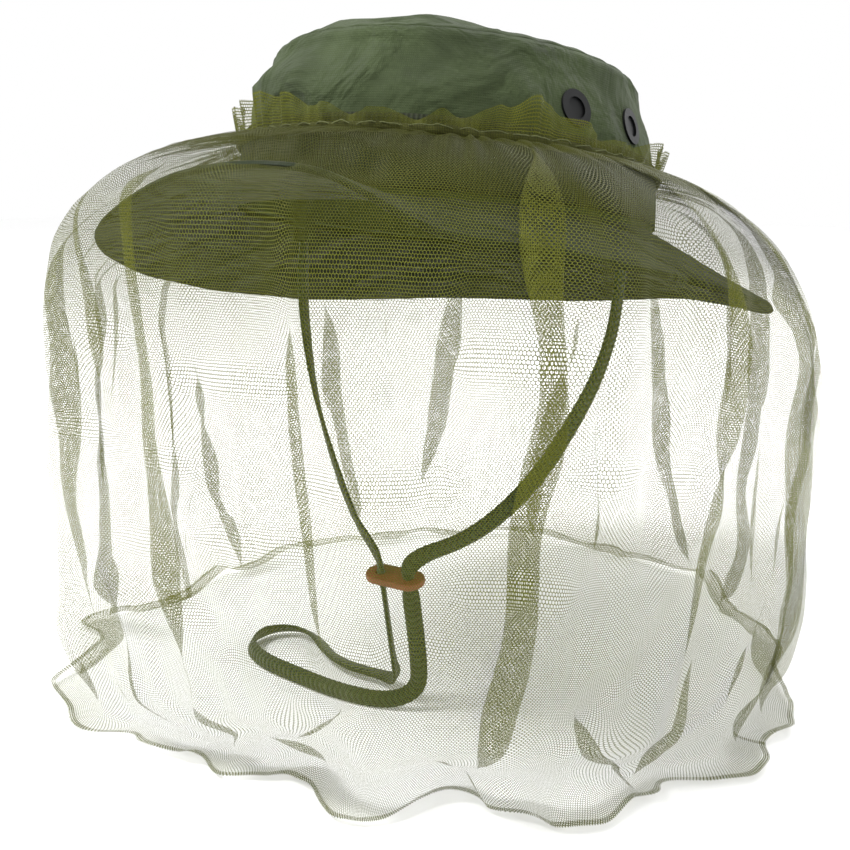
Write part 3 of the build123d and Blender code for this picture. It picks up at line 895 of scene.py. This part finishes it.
def net_line(turn):
    """Even points down the net at a turn: from the elastic over the brim, down, and out over the table."""
    out = 2.2 * MM - side_inset(ELASTIC_HEIGHT)
    top = hat_point(*outline(elastic_turn(turn), out), ELASTIC_HEIGHT)
    way = direction(turn)
    draw = way * station(1, turn) + Vector((0, 0, station(2, turn)))
    full_reach, full_height = station(3, turn), station(4, turn)
    full = way * full_reach + Vector((0, 0, full_height))
    path = []
    for i in range(15):
        t = i / 14
        path.append(top * (1 - t) ** 2 + draw * 2 * t * (1 - t) + full * t * t)
    foot = TABLE + 2.5 * MM
    levels = [(full_height, full_reach)]
    levels += [(height, station(5 + i, turn)) for i, height in enumerate((-120 * MM, -180 * MM, foot))]
    steps = 30
    for i in range(1, steps + 1):
        z = full_height + (foot - full_height) * i / steps
        for (z1, r1), (z2, r2) in zip(levels, levels[1:]):
            if z2 - 1e-9 <= z <= z1:
                path.append(way * (r1 + (r2 - r1) * smooth((z1 - z) / (z1 - z2))) + Vector((0, 0, z)))
                break
    path.append(path[-1] + way * FLARE)
    line, _, _ = even_points(path, 5 * MM)
    return [line[round(k * (len(line) - 1) / LINE_POINTS)] for k in range(LINE_POINTS + 1)]


class HAT_OT_net(bpy.types.Operator):
    """Drapes the net over the brim, with its hem and seams and the pleats under its elastic"""

    bl_idname = "hat.net"
    bl_label = "Net"

    def execute(self, context):
        sizes = context.scene.net_sizes
        lines = [net_line(turn) for turn in range(360)]
        draws = random.Random(11)
        overlaps = list(NET_OVERLAPS)
        for i in range(SHORT_CREASES):
            turn, start = 360 * (i + draws.random()) / SHORT_CREASES, draws.uniform(0.02, 0.5)
            width, drift, length = draws.uniform(1.2, 1.7), draws.uniform(-16, 16), draws.uniform(0.35, 0.6)
            overlaps.append((turn, turn + drift, start, start + length, width, width * 2.4))

        def place(u, v):
            turn = 360 * (round(u * NET_COLUMNS) % NET_COLUMNS) / NET_COLUMNS
            down = 1 - v
            slide = out = 0.0
            for number, (first_turn, last_turn, start, end, width, overlap) in enumerate(overlaps):
                if not start < down < end:
                    continue
                share = (down - start) / (end - start)
                middle = first_turn + (last_turn - first_turn) * share
                away = around(turn, middle + 2.2 * noise.noise(Vector((down * 5, number, 0.5))))
                if abs(away) > 6 * width:
                    continue
                grown = smooth(share * 5) * smooth((1 - share) * 4)
                grown *= 1 + 0.35 * noise.noise(Vector((down * 6, number, 4.5)))
                grown *= 1 - 0.75 * smooth((down - 0.86) * 8)
                slide -= overlap * grown * away / width * bump(away, width)
                out += 2.0 * MM * grown * away / width * bump(away, 2.2 * width)
            for middle, reach, width, drift in NET_FOLDS:
                fold = bump(around(turn, middle + drift * down), width)
                out += reach * MM * fold * smooth((down - 0.04) * 2.4)
            free = smooth((down - 0.1) * 3)
            facet = 1 - 2.2 * abs(ring_noise(turn, 4.5, down * 3.5))
            ridge = 1 - 2.4 * abs(ring_noise(turn, 10, down * 5 + 7))
            lying = smooth((down - 0.8) * 5)
            ridge *= 1 - 0.8 * lying
            out += (6 * ring_noise(turn, 5, down * 1.5) + 4.5 * facet + 3.2 * ridge - 3) * MM * free
            slide += 1.6 * free * ring_noise(turn, 7, down * 4 + 3)
            out += 15 * MM * lying * ring_noise(turn, 3.2, 5.0)
            slide += 2.5 * lying * ring_noise(turn, 6, 9.0)
            low, index = math.floor(turn + slide), round(down * LINE_POINTS)
            point = lines[low % 360][index].lerp(lines[(low + 1) % 360][index], turn + slide - low)
            point += direction(turn + slide) * out
            rise = 8 * MM * abs(ring_noise(turn, 5, down * 6)) * lying
            point.z = max(point.z, TABLE + 1.2 * MM) + rise
            return point

        bm = shaped_sheet(NET_COLUMNS, NET_ROWS, (sizes.girth, sizes.length), place)
        measure_cloth(bm, sizes)
        # The net is painted darker near its elastic, as shade where it lies over the hat
        gauze = net_material("knitted_net_shaded_near_elastic", sizes.thread, 0.185, sizes.pitch, gathered=0.07)
        net = finish_piece(bm, "net_cloth", gauze, "veil", ("veil_front", "veil_rear"))
        settle(net, sizes.length)
        finer = net.modifiers.new("finer", "SUBSURF")
        finer.levels = finer.render_levels = 1
        apply_modifiers(net)
        gather_pleats(net, sizes.girth)

        folded = net_material("folded_net", sizes.thread, 0.27, sizes.pitch)
        row = sizes.length / NET_ROWS / 2
        joins = (0.25 * sizes.girth, 0.75 * sizes.girth)

        def in_hem(u, v):
            return v > sizes.length - 1.2 * row

        def in_seam(u, v):
            return min(abs(u - join) for join in joins) < 2.4 * MM

        hem = part_of_sheet(net, "net_hem", folded, 0.3 * MM, in_hem)
        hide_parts("veil_hem")
        seams = part_of_sheet(net, "net_side_seams", folded, 0.4 * MM, in_seam)
        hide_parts("veil_side_seams")
        return {"FINISHED"}


def measure_cloth(bm, sizes):
    """Sets the net's own coordinates: down from the elastic, and round it by the cloth's real length."""
    uv = bm.loops.layers.uv[CLOTH_UV]
    gaps = [[0.0, 0] for _ in range(NET_COLUMNS)]
    for face in bm.faces:
        low = min(loop[uv].uv.x for loop in face.loops)
        number = round(low / sizes.girth * NET_COLUMNS)
        down = 1 - sum(loop[uv].uv.y for loop in face.loops) / 4 / sizes.length
        if 0.35 < down < 0.75:
            gaps[number][0] += math.sqrt(face.calc_area())
            gaps[number][1] += 1
    # A face's height is the same all round, so its area over that height is how wide its column is
    height = sizes.length / NET_ROWS
    across = [0.0]
    for total, count in gaps:
        across.append(across[-1] + (total / count) ** 2 / height)
    for face in bm.faces:
        for loop in face.loops:
            flat = loop[uv].uv
            number = round(flat.x / sizes.girth * NET_COLUMNS)
            loop[uv].uv = (across[number] / across[-1] * sizes.girth, sizes.length - flat.y)


def settle(net, length):
    """Lets the net's weight crease it, held at its gathered edge, and more loosely further down."""
    bm = bmesh.new()
    level = Matrix.Translation((0, 0, TABLE))
    bmesh.ops.create_grid(bm, x_segments=1, y_segments=1, size=0.6, matrix=level)
    table = mesh_object("helper_table", bm)
    width = bpy.context.scene.hat_sizes.brim_width
    bm = shaped_sheet(60, 3, (1, 1), lambda u, v: brim_point(360 * u, v * width, 1.5 * MM))
    brim = mesh_object("helper_brim", bm)
    for helper in (table, brim):
        helper.modifiers.new("collision", "COLLISION")
        helper.collision.thickness_outer = 1.0 * MM
        helper.collision.cloth_friction = 10

    pinned = net.vertex_groups.new(name="pinned")
    uv = net.data.uv_layers[CLOTH_UV].data
    downs = {}
    for polygon in net.data.polygons:
        for index, loop in zip(polygon.vertices, polygon.loop_indices):
            downs[index] = uv[loop].uv.y / length
    for index, down in downs.items():
        if down < 0.01:
            weight = 1.0
        else:
            weight = 0.8 - 0.25 * smooth(down * 1.6) - 0.35 * smooth((down - 0.62) * 4)
        pinned.add([index], weight, "REPLACE")
    cloth = net.modifiers.new("cloth", "CLOTH")
    for name, value in CLOTH_FEEL.items():
        setattr(cloth.settings, name, value)
    cloth.settings.vertex_group_mass = "pinned"
    cloth.settings.effector_weights.gravity = 0.7
    cloth.collision_settings.collision_quality = 2
    cloth.collision_settings.distance_min = 1.2 * MM
    cloth.collision_settings.use_self_collision = False
    scene = bpy.context.scene
    scene.frame_start, scene.frame_end = 1, SETTLING_FRAMES
    cloth.point_cache.frame_start, cloth.point_cache.frame_end = 1, SETTLING_FRAMES
    for number in range(1, SETTLING_FRAMES + 1):
        scene.frame_set(number)
    apply_modifiers(net)
    scene.frame_set(1)
    for helper in (table, brim):
        bpy.data.objects.remove(helper)


def gather_pleats(net, girth):
    """Adds the close pleats under the elastic, 84 round the hat, which fade over 75 mm."""
    uv = net.data.uv_layers[CLOTH_UV].data
    where = {}
    for polygon in net.data.polygons:
        for index, loop in zip(polygon.vertices, polygon.loop_indices):
            where[index] = uv[loop].uv.copy()
    for index, place in where.items():
        fade = smooth(1 - place.y / (75 * MM)) * smooth(place.y / (4 * MM) + 0.2)
        if fade > 0:
            vert = net.data.vertices[index]
            turn = 360 * place.x / girth
            phase = math.radians(turn * 84) + 2.5 * ring_noise(turn, 12, place.y * 12)
            lift = (0.9 + 1.1 * ring_noise(turn, 7)) * MM * math.sin(phase) * fade
            vert.co += vert.normal * lift


def part_of_sheet(sheet, name, material, lift, wanted):
    """Copies the part of a sheet whose cloth coordinates are wanted, lifted off it a little."""
    bm = bmesh.new()
    bm.from_mesh(sheet.data)
    uv = bm.loops.layers.uv[CLOTH_UV]
    gone = []
    for face in bm.faces:
        middle = sum((loop[uv].uv for loop in face.loops), Vector((0, 0))) / len(face.loops)
        if not wanted(middle.x, middle.y):
            gone.append(face)
    bmesh.ops.delete(bm, geom=gone, context="FACES")
    bm.normal_update()
    for vert in bm.verts:
        vert.co += vert.normal * lift
    return finish_piece(bm, name, material, "veil")


# Height of the frill over the elastic in millimetres, at turns from the front towards the wearer's left
FRILL_HEIGHTS = [
    (0, 7), (9, 4), (30, 4), (39, 7), (52, 13), (65, 6), (76, 4), (88, 8), (110, 11), (150, 7),
    (190, 12), (230, 8), (262, 12), (300, 9), (322, 12), (340, 13), (352, 10),
]


class HAT_OT_gathering(bpy.types.Operator):
    """Makes the gathered edge of the net: the elastic in its casing, the stitching and the frill above"""

    bl_idname = "hat.gathering"
    bl_label = "Elastic and frill"

    def execute(self, context):
        sizes = context.scene.net_sizes
        base = -side_inset(ELASTIC_HEIGHT)
        frill_depth = 10 * MM
        edge = net_material("gathered_net", sizes.thread, 0.32, sizes.pitch)

        def place_frill(u, v):
            turn = 360 * u
            lobes = math.sin(math.radians(turn * 30) + 3 * ring_noise(turn, 4))
            ruffle = math.sin(math.radians(turn * 88) + 2 * ring_noise(turn, 6))
            tall = round_curve(FRILL_HEIGHTS, turn) * (1 + 0.25 * ring_noise(turn, 9))
            tall += 1.2 * lobes * v
            lean = 2.0 + 1.3 * v + (0.4 + 1.6 * v) * lobes + (0.5 + 0.2 * v) * ruffle
            h = ELASTIC_HEIGHT + (2.5 + tall * v) * MM
            return hat_point(*outline(turn, base + max(lean, 1.1) * MM), h)

        bm = shaped_sheet(720, 12, (sizes.girth, frill_depth), place_frill)
        frill = finish_piece(bm, "net_frill", edge, "veil", ("veil_header",))

        def place_casing(u, v):
            turn, angle = 360 * u, math.tau * v
            ruffle = math.sin(math.radians(turn * 170) + 2 * ring_noise(turn, 30))
            out = 2.1 + (1.1 + 0.15 * ruffle) * math.cos(angle)
            up = 1.2 + 0.7 * ring_noise(turn, 9) + (1.9 + 0.1 * ruffle) * math.sin(angle)
            return hat_point(*outline(turn, base + out * MM), ELASTIC_HEIGHT + up * MM)

        casing = webbing_material("gathered_elastic", shade(sizes.thread, 0.5)[:3], 1.2 * MM)
        bm = shaped_sheet(720, 10, (sizes.girth, 10 * MM), place_casing)
        bmesh.ops.recalc_face_normals(bm, faces=bm.faces)
        finish_piece(bm, "net_elastic_casing", casing, "veil", ("veil_elastic",))

        def place_thread(u, v):
            turn, angle = 360 * u, math.tau * v
            stitch = math.sin(math.radians(turn * 64) + 2 * ring_noise(turn, 20))
            out = 3.2 + 0.5 * stitch + 0.2 * math.cos(angle)
            up = 2.4 + 0.9 * ring_noise(turn, 14) + 0.3 * stitch + 0.2 * math.sin(angle)
            return hat_point(*outline(turn, base + out * MM), ELASTIC_HEIGHT + up * MM)

        pale = cotton_material("gathering_thread", from_hex("#5f6340")[:3], 0.4 * MM)
        bm = shaped_sheet(1080, 5, (sizes.girth, 1.8 * MM), place_thread)
        bmesh.ops.recalc_face_normals(bm, faces=bm.faces)
        finish_piece(bm, "net_gathering_thread", pale, "veil")
        return {"FINISHED"}


# ---------------------------------------------------------------- stage
class HAT_OT_stage(bpy.types.Operator):
    """Makes the floor, the soft light and the camera"""

    bl_idname = "hat.stage"
    bl_label = "Stage"

    def execute(self, context):
        scene = context.scene
        scene.view_settings.view_transform = "Standard"
        bm = bmesh.new()
        level = Matrix.Translation((0, 0, TABLE - 0.3 * MM))
        bmesh.ops.create_grid(bm, x_segments=1, y_segments=1, size=6.0, matrix=level)
        floor = mesh_object("floor", bm)
        # Matt white card
        card = bpy.data.materials.new("matt_white_card")
        card.use_nodes = True
        card.node_tree.nodes.clear()
        values = {"Base Color": from_hex("#fdfdfd"), "Roughness": 0.85}
        shader = node(card.node_tree, "BsdfPrincipled", values)
        node(card.node_tree, "OutputMaterial", {"Surface": shader})
        floor.data.materials.append(card)

        world = bpy.data.worlds.new("soft_white")
        scene.world = world
        world.use_nodes = True
        background = world.node_tree.nodes["Background"]
        background.inputs["Color"].default_value = (1.0, 1.0, 1.0, 1)
        background.inputs["Strength"].default_value = 1.0
        lights = [
            ("key_light", (-0.8, -0.8, 1.5), 0.5, 50),
            ("fill_light", (1.5, -0.9, 0.7), 1.2, 14),
            ("back_light", (0.3, 1.5, 1.2), 1.2, 26),
        ]
        for name, place, size, power in lights:
            lamp = bpy.data.lights.new(name, "AREA")
            lamp.size = size
            lamp.energy = power
            holder = bpy.data.objects.new(name, lamp)
            holder.location = place
            way = Vector((0, 0, -0.08)) - Vector(place)
            holder.rotation_euler = way.to_track_quat("-Z", "Y").to_euler()
            scene.collection.objects.link(holder)

        camera_data = bpy.data.cameras.new("camera")
        camera_data.lens = 42.0
        camera_data.sensor_width = 36.0
        camera_data.clip_start = 0.01
        camera = bpy.data.objects.new("camera", camera_data)
        level, rise = math.cos(math.radians(13.56)), math.sin(math.radians(13.56))
        backwards = direction(30.2) * level + Vector((0, 0, rise))
        camera.location = (0.2201, -0.4005, 0.0166)
        camera.rotation_euler = backwards.to_track_quat("Z", "Y").to_euler()
        scene.collection.objects.link(camera)
        scene.camera = camera
        return {"FINISHED"}


class HAT_PT_pieces(bpy.types.Panel):
    """Lists the pieces in the sidebar"""

    bl_idname = "HAT_PT_pieces"
    bl_label = "Hat and net"
    bl_space_type = "VIEW_3D"
    bl_region_type = "UI"
    bl_category = "Hat and net"

    def draw(self, context):
        column = self.layout.column()
        for operator in OPERATORS:
            column.operator(operator.bl_idname)
        for group in (context.scene.hat_sizes, context.scene.net_sizes, context.scene.cord_sizes):
            for name in type(group).__annotations__:
                column.prop(group, name)


OPERATORS = (
    HAT_OT_stage, HAT_OT_cord, HAT_OT_crown, HAT_OT_brim, HAT_OT_bands, HAT_OT_net, HAT_OT_gathering
)
CLASSES = (HatSizes, NetSizes, CordSizes, *OPERATORS, HAT_PT_pieces)


def register():
    for made in CLASSES:
        bpy.utils.register_class(made)
    bpy.types.Scene.hat_sizes = bpy.props.PointerProperty(type=HatSizes)
    bpy.types.Scene.net_sizes = bpy.props.PointerProperty(type=NetSizes)
    bpy.types.Scene.cord_sizes = bpy.props.PointerProperty(type=CordSizes)


def unregister():
    del bpy.types.Scene.hat_sizes, bpy.types.Scene.net_sizes, bpy.types.Scene.cord_sizes
    for made in reversed(CLASSES):
        bpy.utils.unregister_class(made)


def main():
    register()
    for operator in OPERATORS:
        group, name = operator.bl_idname.split(".")
        getattr(getattr(bpy.ops, group), name)()


if __name__ == "__main__":
    main()
